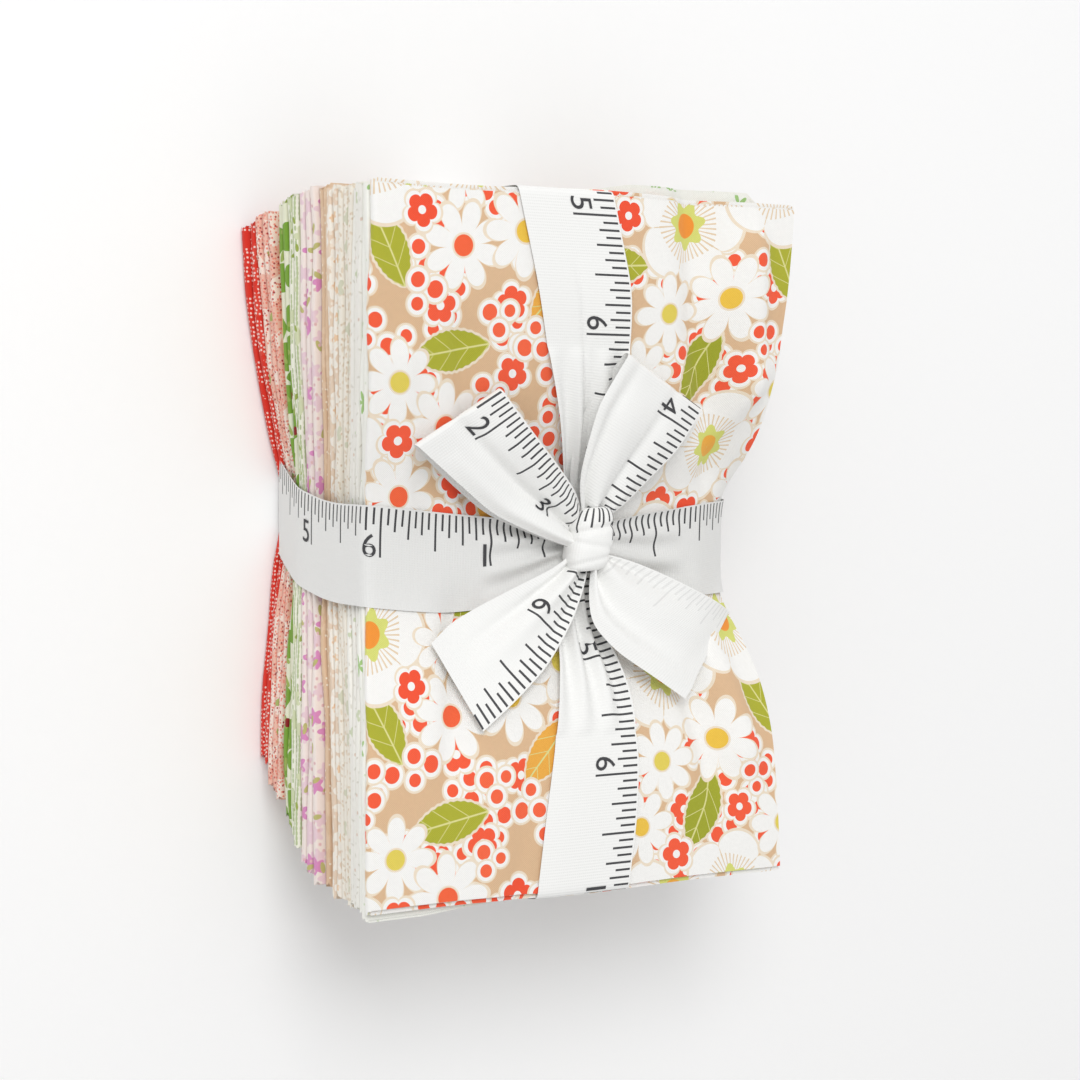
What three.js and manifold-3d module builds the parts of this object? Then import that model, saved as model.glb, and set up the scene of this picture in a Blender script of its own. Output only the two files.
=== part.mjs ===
// Fat eighth bundle: folded quilting cottons in one stack, tied lengthwise and crosswise with a
// single length of printed ribbon that ends in a bow. Millimetres, +Z up. The bundle lies on its
// back: X runs across its width, Y along its length and Z up through the stack to its face.
import * as THREE from "three";
import { mergeVertices } from "three/addons/utils/BufferGeometryUtils.js";
import Module from "manifold-3d";

const wasm = await Module();
wasm.setup();

// Heights of the face: at the middle of its two ends, and where the ribbon draws it in.
const HEAD_HEIGHT = 64.0;
const FOOT_HEIGHT = 60.4;
const WAIST_HEIGHT = 45.4;
const HALF_LENGTH = 73.0;
const HALF_WIDTH = 50.0;
// The open right side lies lower than the folded left side.
const RIGHT_DROOP = 2.6;
// The share of its width that a cloth loses where the ribbon draws it in.
const PINCH_SHARE = 0.139;

// One cloth: its layers and the space between them, before the ribbon presses the stack.
const LAYER = 0.88;
const LAYER_SPACE = 0.34;
const CLOTH_HEIGHT = 2 * LAYER + LAYER_SPACE;
const CLEARANCE = 0.3;
const FOLD_FACETS = 4;

// The ribbon.
const RIBBON_WIDTH = 22.2;
const RIBBON_THICKNESS = 1.0;
const GATHERED_WIDTH = 8.0;
const RIBBON_CLEARANCE = 0.35;
const SLIVER = 0.03;
const SIDE_CLEARANCE = 0.8;
const STACK_BASE = RIBBON_THICKNESS + CLEARANCE;
const KNOT_BOXINESS = 0.62;
const KNOT = { x: 3.9, y: -0.6, width: 13.4, length: 14.0, bottom: 45.2, top: 54.0 };

// How the ribbon draws the stack in along its length. squeeze is the share of the height lost and
// pinch the share of the width lost, from 0, as folded, to 1, under the ribbon.
const WAIST = [
  { along: -200, squeeze: 0.0, pinch: 0.0 },
  { along: -73, squeeze: 0.0, pinch: 0.0 },
  { along: -58, squeeze: 0.06, pinch: 0.06 },
  { along: -44, squeeze: 0.18, pinch: 0.2 },
  { along: -31, squeeze: 0.46, pinch: 0.46 },
  { along: -22, squeeze: 0.74, pinch: 0.75 },
  { along: -13, squeeze: 1.0, pinch: 1.0 },
  { along: 9, squeeze: 1.0, pinch: 1.0 },
  { along: 17, squeeze: 0.74, pinch: 1.0 },
  { along: 26, squeeze: 0.5, pinch: 0.66 },
  { along: 38, squeeze: 0.26, pinch: 0.36 },
  { along: 53, squeeze: 0.08, pinch: 0.12 },
  { along: 73, squeeze: 0.0, pinch: 0.0 },
  { along: 200, squeeze: 0.0, pinch: 0.0 },
];

// One row per fat eighth, from the back, underneath, to the face. head and foot are its two ends,
// left its folded side and right its open side where nothing draws it in, and lean is how far its
// head is turned to the left and its foot to the right.
const CLOTHS = [
  { print: "red_pin_dot", head: 67.8, foot: -49.3, left: -52.8, right: 49.6, lean: 2.3 },
  { print: "red_sprig", head: 68.6, foot: -50.6, left: -52.3, right: 50.4, lean: 2.2 },
  { print: "coral_fleck", head: 70.0, foot: -55.2, left: -51.5, right: 49.0, lean: 2.1 },
  { print: "coral_fleck", head: 70.5, foot: -55.8, left: -51.1, right: 50.2, lean: 2.0 },
  { print: "coral_fleck", head: 70.2, foot: -57.0, left: -50.8, right: 49.4, lean: 2.0 },
  { print: "peach", head: 71.2, foot: -58.6, left: -49.6, right: 50.6, lean: 1.5 },
  { print: "green_leaf", head: 71.8, foot: -60.2, left: -49.4, right: 49.2, lean: 1.4 },
  { print: "green_leaf", head: 72.2, foot: -62.0, left: -49.3, right: 50.0, lean: 1.3 },
  { print: "mint_dash", head: 73.0, foot: -63.6, left: -49.7, right: 50.8, lean: 1.0 },
  { print: "mint_dash", head: 73.3, foot: -66.2, left: -49.5, right: 49.5, lean: 1.0 },
  { print: "lavender_floral", head: 73.5, foot: -68.8, left: -49.4, right: 50.3, lean: 0.9 },
  { print: "lavender_floral", head: 73.6, foot: -70.4, left: -49.2, right: 49.1, lean: 0.9 },
  { print: "lavender_floral", head: 73.4, foot: -72.2, left: -48.8, right: 50.5, lean: 0.8 },
  { print: "tan_pin_dot", head: 73.9, foot: -73.0, left: -46.6, right: 49.8, lean: 1.2 },
  { print: "tan_pin_dot", head: 73.6, foot: -73.4, left: -46.4, right: 50.7, lean: 1.2 },
  { print: "cream_blossom", head: 73.2, foot: -74.0, left: -47.2, right: 49.3, lean: 1.5 },
  { print: "cream_blossom", head: 73.0, foot: -73.8, left: -47.5, right: 50.2, lean: 1.6 },
  { print: "tan_dash", head: 72.8, foot: -74.1, left: -47.7, right: 50.9, lean: 1.6 },
  { print: "tan_dash", head: 72.5, foot: -73.7, left: -47.9, right: 49.6, lean: 1.6 },
  { print: "tan_dash", head: 72.7, foot: -74.2, left: -48.2, right: 50.1, lean: 1.4 },
  { print: "pale_sprig", head: 72.3, foot: -73.6, left: -48.5, right: 49.2, lean: 1.2 },
  { print: "pale_sprig", head: 72.6, foot: -74.0, left: -48.7, right: 50.5, lean: 1.0 },
  { print: "pale_sprig", head: 72.2, foot: -73.4, left: -48.9, right: 49.9, lean: 0.8 },
  { print: "mint_sprig", head: 72.6, foot: -73.8, left: -49.0, right: 50.6, lean: 0.6 },
  { print: "mint_sprig", head: 73.9, foot: -75.0, left: -49.2, right: 49.8, lean: 0.5 },
  { print: "blossom_floral", head: 72.4, foot: -72.9, left: -49.5, right: 50.8, lean: 0.7 },
];

// The main colour of each print, as it reads from a distance.
const PRINT_COLOURS = {
  red_pin_dot: "#e03a2c",
  red_sprig: "#ea7a68",
  coral_fleck: "#f3b7a6",
  peach: "#f4c490",
  green_leaf: "#9dc06a",
  mint_dash: "#dde8cd",
  lavender_floral: "#e9c8dc",
  tan_pin_dot: "#dfbf9f",
  cream_blossom: "#eddccb",
  tan_dash: "#ebe4da",
  pale_sprig: "#e9e8e2",
  mint_sprig: "#f0f3ec",
  blossom_floral: "#e9c9ad",
};
const RIBBON_COLOUR = "#f0f0ee";

// Where the lengthwise ribbon crosses the face, from the head to the foot. It gathers in the knot.
const LENGTHWISE = [
  { along: 75, middle: -8.8, width: 22.2 },
  { along: 53, middle: -0.2, width: 22.2 },
  { along: 38, middle: 2.8, width: 19.0 },
  { along: 26, middle: 3.6, width: 14.0 },
  { along: 17, middle: 4.0, width: 10.5 },
  { along: 9, middle: 4.0, width: 8.0 },
  { along: 1, middle: 3.9, width: 8.0 },
  { along: -2, middle: 3.9, width: 8.0 },
  { along: -13, middle: 3.6, width: 8.5 },
  { along: -22, middle: 4.2, width: 12.0 },
  { along: -31, middle: 5.2, width: 17.0 },
  { along: -44, middle: 4.6, width: 20.5 },
  { along: -58, middle: 2.6, width: 22.2 },
  { along: -75, middle: 0.0, width: 22.2 },
];

// The crosswise ribbon's middle and width along X, over the face and under the back.
const CROSSWISE_FACE = [
  { across: 44, middle: -2.4, width: 20.6 },
  { across: 24, middle: -3.0, width: 18.0 },
  { across: 13, middle: -2.0, width: 12.0 },
  { across: 5, middle: -0.8, width: 8.0 },
  { across: 3, middle: -0.8, width: 8.0 },
  { across: -7, middle: -3.0, width: 14.0 },
  { across: -14, middle: -4.2, width: 19.0 },
  { across: -24, middle: -4.2, width: 20.0 },
  { across: -43.8, middle: -2.0, width: 20.6 },
];
const CROSSWISE_BACK = { left: 6.4, right: 2.0, width: 19.0 };
const LENGTHWISE_BACK = { head: -4.0, foot: 2.0 };

// The bow. Each loop and tail leaves the knot towards its own tip, and lift is its height there
// over the cloth.
const LOOPS = [
  { x: -29.4, y: 25.8, lift: 2.6 },
  { x: 18.9, y: 34.0, lift: 2.6 },
];
const TAILS = [
  { x: -28.6, y: -29.2, lift: 3.0 },
  { x: 31.0, y: -24.7, lift: 5.0 },
];
const LOOP_SPACE = 1.2;
const BOW_ARCH = 1.8;
const BOW_STEPS = 6;

function waistAt(along, column) {
  const next = WAIST.findIndex((row) => row.along >= along);
  const [low, high] = [WAIST[next - 1], WAIST[next]];
  const share = (along - low.along) / (high.along - low.along);
  return THREE.MathUtils.lerp(low[column], high[column], share);
}

// The height of the stack's face over the point (across, along).
function faceHeight(across, along) {
  const middle = (HEAD_HEIGHT + FOOT_HEIGHT) / 2;
  const flare = ((HEAD_HEIGHT - FOOT_HEIGHT) / 2) * (along / HALF_LENGTH);
  const droop = RIGHT_DROOP * ((across + HALF_WIDTH) / (2 * HALF_WIDTH));
  return THREE.MathUtils.lerp(middle + flare, WAIST_HEIGHT, waistAt(along, "squeeze")) - droop;
}

// The height at a share of the stack, from 0 under the lowest cloth to 1 over the top one.
function stackHeight(across, along, share) {
  return THREE.MathUtils.lerp(STACK_BASE, faceHeight(across, along), share);
}

function pinchedAcross(across, along, lean) {
  const pinch = 1 - PINCH_SHARE * waistAt(along, "pinch");
  return across * pinch - lean * (along / HALF_LENGTH);
}

// One cloth's cross-section: out from the open side, round the fold on the left and back.
function foldedSection(left, right) {
  const outerRadius = CLOTH_HEIGHT / 2;
  const innerRadius = LAYER_SPACE / 2;
  const foldX = left + outerRadius;
  const [bottom, top] = [-Math.PI / 2, Math.PI / 2];
  const outer = new THREE.EllipseCurve(foldX, outerRadius, outerRadius, outerRadius, top, 2 * Math.PI + bottom);
  const inner = new THREE.EllipseCurve(foldX, outerRadius, innerRadius, innerRadius, bottom, -2 * Math.PI + top, true);
  return new THREE.Shape([
    new THREE.Vector2(right, CLOTH_HEIGHT),
    ...outer.getPoints(FOLD_FACETS),
    new THREE.Vector2(right, 0),
    new THREE.Vector2(right, LAYER),
    ...inner.getPoints(FOLD_FACETS / 2),
    new THREE.Vector2(right, LAYER + LAYER_SPACE),
  ]);
}

// A folded cloth in its place in the stack, drawn in at the waist.
function foldedCloth(row, index) {
  const between = WAIST.map((waist) => waist.along).filter((y) => y < row.head - 1 && y > row.foot + 1);
  const stations = [row.head, ...between.reverse(), row.foot];
  const steps = stations.length - 1;
  const section = foldedSection(row.left, row.right);
  const geometry = new THREE.ExtrudeGeometry(section, { depth: steps, steps, bevelEnabled: false });
  const position = geometry.getAttribute("position");
  for (let i = 0; i < position.count; i++) {
    const along = stations[Math.round(position.getZ(i))];
    const across = pinchedAcross(position.getX(i), along, row.lean);
    const pitch = (faceHeight(across, along) - STACK_BASE + CLEARANCE) / CLOTHS.length;
    const share = position.getY(i) / CLOTH_HEIGHT;
    position.setXYZ(i, across, along, STACK_BASE + index * pitch + share * (pitch - CLEARANCE));
  }
  geometry.computeVertexNormals();
  return geometry;
}

// A strip of ribbon between two edges, given as pairs { a, b }. Its thickness stands out on the
// side that along x (b - a) points to, with mitred corners.
function strip(edges) {
  const middles = edges.map(({ a, b }) => a.clone().lerp(b, 0.5));
  const facing = middles.slice(1).map((point, k) => {
    const along = point.clone().sub(middles[k]);
    const across = edges[k].b.clone().sub(edges[k].a).add(edges[k + 1].b).sub(edges[k + 1].a);
    return along.cross(across).normalize();
  });
  const outward = middles.map((_, k) => {
    const before = facing[Math.max(k - 1, 0)];
    const after = facing[Math.min(k, facing.length - 1)];
    return before.clone().add(after).multiplyScalar(RIBBON_THICKNESS / (1 + before.dot(after)));
  });
  const steps = edges.length - 1;
  const section = new THREE.Shape([
    new THREE.Vector2(0, 0),
    new THREE.Vector2(1, 0),
    new THREE.Vector2(1, 1),
    new THREE.Vector2(0, 1),
  ]);
  const geometry = new THREE.ExtrudeGeometry(section, { depth: steps, steps, bevelEnabled: false });
  const position = geometry.getAttribute("position");
  for (let i = 0; i < position.count; i++) {
    const k = Math.round(position.getZ(i));
    const point = edges[k].a.clone().lerp(edges[k].b, position.getX(i));
    point.addScaledVector(outward[k], position.getY(i));
    position.setXYZ(i, point.x, point.y, point.z);
  }
  return geometry;
}

// The corners of the stack that a taut ribbon touches as it goes down one end or side. Each corner
// is { out, share }: how far out it lies, and its share of the stack's height. The ribbon bridges
// the cloths that lie further in.
function tautCorners(reaches) {
  const corners = reaches.flatMap((out, index) => [
    { out, share: index / reaches.length },
    { out, share: (index + 1) / reaches.length },
  ]);
  const taut = [];
  for (const corner of corners) {
    while (taut.length > 1) {
      const [first, second] = taut.slice(-2);
      const chord = (corner.share - first.share) * (second.out - first.out);
      if (chord > (second.share - first.share) * (corner.out - first.out)) break;
      taut.pop();
    }
    if (taut.length === 1 && corner.share === taut[0].share) continue;
    taut.push(corner);
  }
  return taut;
}

// The two edges of the lengthwise ribbon at one point of its way round.
function lengthwiseEdge(middle, width, along, height) {
  const edge = (across) => new THREE.Vector3(across, along, height(across));
  return { a: edge(middle + width / 2), b: edge(middle - width / 2) };
}

function lengthwiseFace(rows) {
  return rows.map(({ along, middle, width }) => {
    const height = (across) => faceHeight(across, along) + RIBBON_CLEARANCE;
    return lengthwiseEdge(middle, width, along, height);
  });
}

// The ribbon's way down one end of the stack. side is 1 at the head and -1 at the foot.
function lengthwiseEnd(side, faceMiddle, backMiddle) {
  const reaches = CLOTHS.map((row) => side * (side > 0 ? row.head : row.foot));
  return tautCorners(reaches).map(({ out, share }) => {
    const along = side * (out + RIBBON_CLEARANCE + 0.1);
    const middle = THREE.MathUtils.lerp(backMiddle, faceMiddle, share);
    const lift = share === 1 ? RIBBON_CLEARANCE : 0;
    const drop = share === 0 ? CLEARANCE : 0;
    const height = (across) => stackHeight(across, side * out, share) + lift - drop;
    return lengthwiseEdge(middle, RIBBON_WIDTH, along, height);
  });
}

function lengthwiseRibbon() {
  const towardsHead = LENGTHWISE.filter((row) => row.along > 0 && row.along < 70).reverse();
  const fromFoot = LENGTHWISE.filter((row) => row.along < 0 && row.along > -70).reverse();
  const headMiddle = LENGTHWISE[0].middle;
  const footMiddle = LENGTHWISE.at(-1).middle;
  return strip([
    ...lengthwiseFace(towardsHead),
    ...lengthwiseEnd(1, headMiddle, LENGTHWISE_BACK.head).reverse(),
    ...lengthwiseEnd(-1, footMiddle, LENGTHWISE_BACK.foot),
    ...lengthwiseFace(fromFoot),
  ]);
}

// The two edges of the crosswise ribbon at one point of its way round.
function crosswiseEdge(middle, width, across, height) {
  const edge = (along) => new THREE.Vector3(across, along, height(along));
  return { a: edge(middle + width / 2), b: edge(middle - width / 2) };
}

function crosswiseFace(rows) {
  return rows.map(({ across, middle, width }) => {
    const height = (along) => faceHeight(across, along) + RIBBON_CLEARANCE;
    return crosswiseEdge(middle, width, across, height);
  });
}

// The ribbon's way down one side of the stack. side is 1 on the right and -1 on the left.
function crosswiseSide(side, face, back) {
  const reaches = CLOTHS.map((row) => side * (side > 0 ? row.right : row.left) * (1 - PINCH_SHARE));
  return tautCorners(reaches).map(({ out, share }) => {
    const across = side * (out + SIDE_CLEARANCE);
    const middle = THREE.MathUtils.lerp(back.middle, face.middle, share);
    const width = THREE.MathUtils.lerp(back.width, face.width, share);
    const lift = share === 1 ? RIBBON_CLEARANCE : 0;
    const drop = share === 0 ? CLEARANCE : 0;
    const height = (along) => stackHeight(side * out, along, share) + lift - drop;
    return crosswiseEdge(middle, width, across, height);
  });
}

function crosswiseRibbon() {
  const leftFace = CROSSWISE_FACE.filter((row) => row.across < 4 && row.across > -40);
  const rightFace = CROSSWISE_FACE.filter((row) => row.across > 4 && row.across < 40);
  const leftBack = { middle: CROSSWISE_BACK.left, width: CROSSWISE_BACK.width };
  const rightBack = { middle: CROSSWISE_BACK.right, width: CROSSWISE_BACK.width };
  return strip([
    ...crosswiseFace(leftFace),
    ...crosswiseSide(-1, CROSSWISE_FACE.at(-1), leftBack).reverse(),
    ...crosswiseSide(1, CROSSWISE_FACE[0], rightBack),
    ...crosswiseFace(rightFace),
  ]);
}

// One layer of a loop or tail, from the knot to its tip, resting lift over the cloth at the tip.
function bowLayer(tip) {
  const root = new THREE.Vector3(KNOT.x, KNOT.y, 0);
  const way = new THREE.Vector3(tip.x, tip.y, 0).sub(root);
  const across = new THREE.Vector3(way.y, -way.x, 0).normalize();
  const rootHeight = (KNOT.bottom + KNOT.top) / 2 - RIBBON_THICKNESS;
  return Array.from({ length: BOW_STEPS + 1 }, (_, k) => {
    const share = k / BOW_STEPS;
    const spread = THREE.MathUtils.smoothstep(share, 0.1, 0.75);
    const half = THREE.MathUtils.lerp(GATHERED_WIDTH, RIBBON_WIDTH, spread) / 2;
    const middle = root.clone().addScaledVector(way, share);
    const edges = [-half, half].map((side) => middle.clone().addScaledVector(across, side));
    for (const edge of edges) {
      const tipHeight = faceHeight(edge.x, edge.y) + tip.lift;
      edge.z = THREE.MathUtils.lerp(rootHeight, tipHeight, share) + BOW_ARCH * Math.sin(share * Math.PI);
    }
    return { a: edges[0], b: edges[1] };
  });
}

// A loop goes out over its lower layer, turns at the tip and comes back under itself.
function bowLoop(tip) {
  const lower = bowLayer(tip);
  const raise = ({ a, b }) => {
    const up = new THREE.Vector3(0, 0, LOOP_SPACE);
    return { a: a.clone().add(up), b: b.clone().add(up) };
  };
  const upper = lower.map(raise);
  return strip([...upper, ...lower.reverse()]);
}

function bowTail(tip) {
  return strip(bowLayer(tip));
}

// The knot is a boxy lump, as the ribbon is wound flat round its own gathers.
function knot() {
  const geometry = new THREE.SphereGeometry(1, 16, 8);
  geometry.rotateX(Math.PI / 2);
  const position = geometry.getAttribute("position");
  const boxy = (value) => Math.sign(value) * Math.abs(value) ** KNOT_BOXINESS;
  for (let i = 0; i < position.count; i++) {
    position.setXYZ(i, boxy(position.getX(i)), boxy(position.getY(i)), boxy(position.getZ(i)));
  }
  const height = KNOT.top - KNOT.bottom;
  geometry.scale(KNOT.width / 2, KNOT.length / 2, height / 2);
  geometry.translate(KNOT.x, KNOT.y, KNOT.bottom + height / 2);
  return geometry;
}

function toManifold(geometry) {
  geometry.deleteAttribute("normal");
  geometry.deleteAttribute("uv");
  const merged = mergeVertices(geometry, 1e-4);
  const vertProperties = Float32Array.from(merged.getAttribute("position").array);
  const triVerts = Uint32Array.from(merged.index.array);
  return new wasm.Manifold(new wasm.Mesh({ numProp: 3, vertProperties, triVerts }));
}

function fromManifold(solid) {
  const { numProp, vertProperties, triVerts } = solid.getMesh();
  const geometry = new THREE.BufferGeometry();
  geometry.setAttribute("position", new THREE.BufferAttribute(vertProperties, numProp));
  geometry.setIndex(new THREE.BufferAttribute(triVerts, 1));
  geometry.computeVertexNormals();
  return geometry;
}

// The whole tie is one length of ribbon, so its bands, knot, loops and tails are one solid. Joining
// them leaves slivers, which are merged away, and specks with no volume, which are dropped.
function tiedRibbon() {
  const sections = [
    lengthwiseRibbon(),
    crosswiseRibbon(),
    knot(),
    ...LOOPS.map(bowLoop),
    ...TAILS.map(bowTail),
  ];
  const joined = sections.map(toManifold).reduce((whole, section) => whole.add(section));
  const bodies = joined.simplify(SLIVER).decompose();
  const [tie] = bodies.sort((one, other) => other.volume() - one.volume());
  return fromManifold(tie);
}

function mesh(name, geometry, colour) {
  const material = new THREE.MeshStandardMaterial({ color: colour, roughness: 0.9, metalness: 0 });
  const piece = new THREE.Mesh(geometry, material);
  piece.name = name;
  return piece;
}

const bundle = new THREE.Group();
CLOTHS.forEach((row, index) => {
  const number = String(index + 1).padStart(2, "0");
  bundle.add(mesh(`fat_eighth_${number}`, foldedCloth(row, index), PRINT_COLOURS[row.print]));
});
bundle.add(mesh("ribbon", tiedRibbon(), RIBBON_COLOUR));

// The origin is under the middle of the bundle's box, on the surface that it lies on.
const box = new THREE.Box3().setFromObject(bundle);
const centre = box.getCenter(new THREE.Vector3());
bundle.position.set(-centre.x, -centre.y, -box.min.z);

export default bundle;
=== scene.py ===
import math
from collections import namedtuple
from functools import partial

import bmesh
import bpy
import numpy as np
from mathutils import Matrix, Vector


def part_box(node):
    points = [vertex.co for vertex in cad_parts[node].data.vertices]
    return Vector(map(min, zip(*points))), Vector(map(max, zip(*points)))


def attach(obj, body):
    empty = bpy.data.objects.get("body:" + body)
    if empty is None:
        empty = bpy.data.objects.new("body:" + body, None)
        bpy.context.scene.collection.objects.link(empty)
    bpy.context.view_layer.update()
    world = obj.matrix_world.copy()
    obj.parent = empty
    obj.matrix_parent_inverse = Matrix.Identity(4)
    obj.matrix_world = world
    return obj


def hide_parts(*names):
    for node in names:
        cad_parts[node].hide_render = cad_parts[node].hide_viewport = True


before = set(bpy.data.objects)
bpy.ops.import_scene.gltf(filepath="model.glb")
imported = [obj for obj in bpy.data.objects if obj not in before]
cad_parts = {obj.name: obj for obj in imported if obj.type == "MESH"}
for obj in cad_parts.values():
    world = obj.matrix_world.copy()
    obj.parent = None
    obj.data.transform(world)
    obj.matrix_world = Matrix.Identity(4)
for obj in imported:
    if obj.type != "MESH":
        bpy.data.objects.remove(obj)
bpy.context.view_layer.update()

# ---------------------------------------------------------------------------------------------
# The camera looks down on the bundle from its folded left side, so that the face and the edges
# of all the cloths show. Sizes here and below are in millimetres from the stack's middle, which
# the face cloth's own corner gives: X across the bundle, Y to its head and Z up through it.
MM = 0.001
FACE_LEFT = -50.17
FACE_HEAD = 72.4
face_low, face_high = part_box("fat_eighth_26")
stack_middle = Vector((face_low.x - FACE_LEFT * MM, face_high.y - FACE_HEAD * MM, 0))

LENS = 71.83
CAMERA_PLACE = Vector((-214.8, 23.7, 454.8))
CAMERA_WAY = Vector((0.4581, -0.0506, -0.8875))
CAMERA_UP = Vector((0.0182, 0.9987, -0.0475))


def set_out(name, data):
    """A new object in the scene."""
    made = bpy.data.objects.new(name, data)
    bpy.context.scene.collection.objects.link(made)
    return made


camera_right = CAMERA_WAY.cross(CAMERA_UP).normalized()
camera_up = camera_right.cross(CAMERA_WAY).normalized()
camera = set_out("camera", bpy.data.cameras.new("camera"))
camera.data.lens = LENS
camera.matrix_world = Matrix.Translation(CAMERA_PLACE * MM + stack_middle) @ Matrix(
    (camera_right, camera_up, -CAMERA_WAY.normalized())
).transposed().to_4x4()
bpy.context.scene.camera = camera

# ---------------------------------------------------------------------------------------------
# The table is white laminate, lit by one soft lamp over the head's left side and by an even white
# room, which is pure white where it is seen. The table keeps the bundle's soft shadow.
TABLE_SIZE = 3.0
TABLE_DROP = 0.0003
PURE_WHITE = "#FFFFFF"
TABLE_ROUGHNESS = 0.8
TABLE_GLOSS = 0.2
ROOM_STRENGTH = 0.66
LAMP_PLACE = Vector((-0.26, 0.50, 0.95))
LAMP_SIZE = 0.5
LAMP_POWER = 4.6


def linear(code):
    """An sRGB hex colour as linear red, green, blue and alpha."""
    parts = [int(code[k : k + 2], 16) / 255 for k in (1, 3, 5)]
    return [c / 12.92 if c <= 0.04045 else ((c + 0.055) / 1.055) ** 2.4 for c in parts] + [1.0]


def add(tree, kind, *inputs, at=None, **settings):
    """Adds a shader node. kind is its type, with its operation after a space, or an operation
    alone for a Math node. inputs fill its sockets in order and at names others: a node is linked
    from its first output, and a hex colour is made linear."""
    kind, _, operation = ("Math " + kind if kind.isupper() else kind).partition(" ")
    made = tree.nodes.new(kind if kind.startswith("Node") else "ShaderNode" + kind)
    if operation:
        settings["operation"] = operation
    for name, value in settings.items():
        setattr(made, name, value)
    for socket, value in [*enumerate(inputs), *(at or {}).items()]:
        if isinstance(value, bpy.types.Node):
            value = value.outputs[0]
        if isinstance(value, bpy.types.NodeSocket):
            tree.links.new(value, made.inputs[socket])
        elif value is not None:
            made.inputs[socket].default_value = linear(value) if isinstance(value, str) else value
    return made


def new_material(name):
    """An empty material, and what adds a node to it."""
    material = bpy.data.materials.new(name)
    material.use_nodes = True
    material.node_tree.nodes.clear()
    return material, partial(add, material.node_tree)


half = TABLE_SIZE / 2
corners = [(-half, -half), (half, -half), (half, half), (-half, half)]
table = set_out("table", bpy.data.meshes.new("table"))
table.data.from_pydata([(x, y, -TABLE_DROP) for x, y in corners], [], [(0, 1, 2, 3)])
# Matt laminate is pressed smooth and barely reflects, so it gives the eye an even, soft white.
laminate, put = new_material("matt white laminate")
put("OutputMaterial", put("BsdfPrincipled", PURE_WHITE, at={
    "Roughness": TABLE_ROUGHNESS, "Specular IOR Level": TABLE_GLOSS,
}))
table.data.materials.append(laminate)

# The room lights the bundle at ROOM_STRENGTH, and is white itself where it is seen or reflected.
room = bpy.data.worlds.new("room")
room.use_nodes = True
put = partial(add, room.node_tree)
light_path = put("LightPath")
seen = light_path.outputs["Is Camera Ray"]
for ray in ("Is Glossy Ray", "Is Transmission Ray"):
    seen = put("MAXIMUM", seen, light_path.outputs[ray])
strength = put("MULTIPLY_ADD", seen, 1 - ROOM_STRENGTH, ROOM_STRENGTH)
backdrop = room.node_tree.nodes["Background"]
backdrop.inputs["Color"].default_value = linear(PURE_WHITE)
room.node_tree.links.new(strength.outputs[0], backdrop.inputs["Strength"])
bpy.context.scene.world = room

lamp = set_out("soft lamp", bpy.data.lights.new("soft lamp", "AREA"))
lamp.data.size = LAMP_SIZE
lamp.data.energy = LAMP_POWER
lamp.location = LAMP_PLACE
lamp.rotation_euler = (-LAMP_PLACE).to_track_quat("-Z", "Y").to_euler()
bpy.context.scene.view_settings.view_transform = "Standard"

# ---------------------------------------------------------------------------------------------
# The stack is 26 fat eighths of quilting cotton, laid on their backs and drawn in by the ribbon.
# Each share of its height, from 0 underneath to 1 on the face, is one smooth level, so that the
# cloths follow each other's folds and never cut into each other.
HEAD_HEIGHT = 64.0
FOOT_HEIGHT = 60.4
WAIST_HEIGHT = 45.4
HALF_LENGTH = 73.0
HALF_WIDTH = 50.0
# How much lower the face lies at its right side than at its left.
RIGHT_DROOP = 2.6
# Beside the crosswise ribbon the face's right edge is pulled down, more and more from this line.
TIED_EDGE = {"from": 33, "over": 12, "droop": 5.5}
# The most that the tie draws a side in, and how much less it draws in the middle of the stack.
PINCH_SHARE = 0.139
MIDDLE_EASE = 0.45
RIBBON_WIDTH = 22.2
# How far the tie draws the stack in, row by row along its length: the share of the height lost,
# and the shares of the width lost at the folded left side, by the face and by the back, and at
# the right.
WAIST = [
    (-100, 0.00, 0.00, 0.00, 0.00),
    (-73, 0.00, 0.01, 0.00, 0.00),
    (-58, 0.06, 0.04, 0.03, 0.04),
    (-44, 0.18, 0.15, 0.12, 0.12),
    (-31, 0.46, 0.40, 0.26, 0.22),
    (-22, 0.74, 0.66, 0.41, 0.32),
    (-13, 1.00, 0.90, 0.61, 0.44),
    (-4, 1.00, 0.98, 0.82, 0.46),
    (6, 1.00, 0.96, 0.97, 0.44),
    (10, 0.98, 0.88, 0.97, 0.36),
    (17, 0.74, 0.70, 0.82, 0.22),
    (26, 0.50, 0.50, 0.60, 0.14),
    (38, 0.26, 0.24, 0.29, 0.08),
    (53, 0.08, 0.08, 0.08, 0.05),
    (73, 0.00, 0.00, 0.00, 0.00),
    (100, 0.00, 0.00, 0.00, 0.00),
]
# Soft troughs and ridges pressed into the face: their two ends, their width, and their height,
# which is below zero for a trough. One slope of each is steep and the other is gentle.
STEEP_SHARE = 0.6
GENTLE_SHARE = 1.2
FOLD_FADE = 6.0
WAVINESS = 0.35
SOFT_FOLDS = [
    ((24, 76), (28, 47), 6.0, -3.4),
    ((31, 38), (39, 16), 5.6, -3.5),
    ((41, 62), (44, 34), 4.5, 2.4),
    ((45, 34), (37, 21), 4.0, 2.0),
    ((-28, 40), (-20, 9), 4.0, -1.5),
    ((-40, 36), (-35, 8), 4.0, 1.1),
    ((-24, -15), (-30, -44), 4.0, -1.4),
    ((26, -15), (33, -50), 4.6, -2.8),
    ((37, -13), (43, -46), 4.6, 2.1),
    ((-11, -48), (-15, -72), 5.0, -0.9),
]
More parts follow.
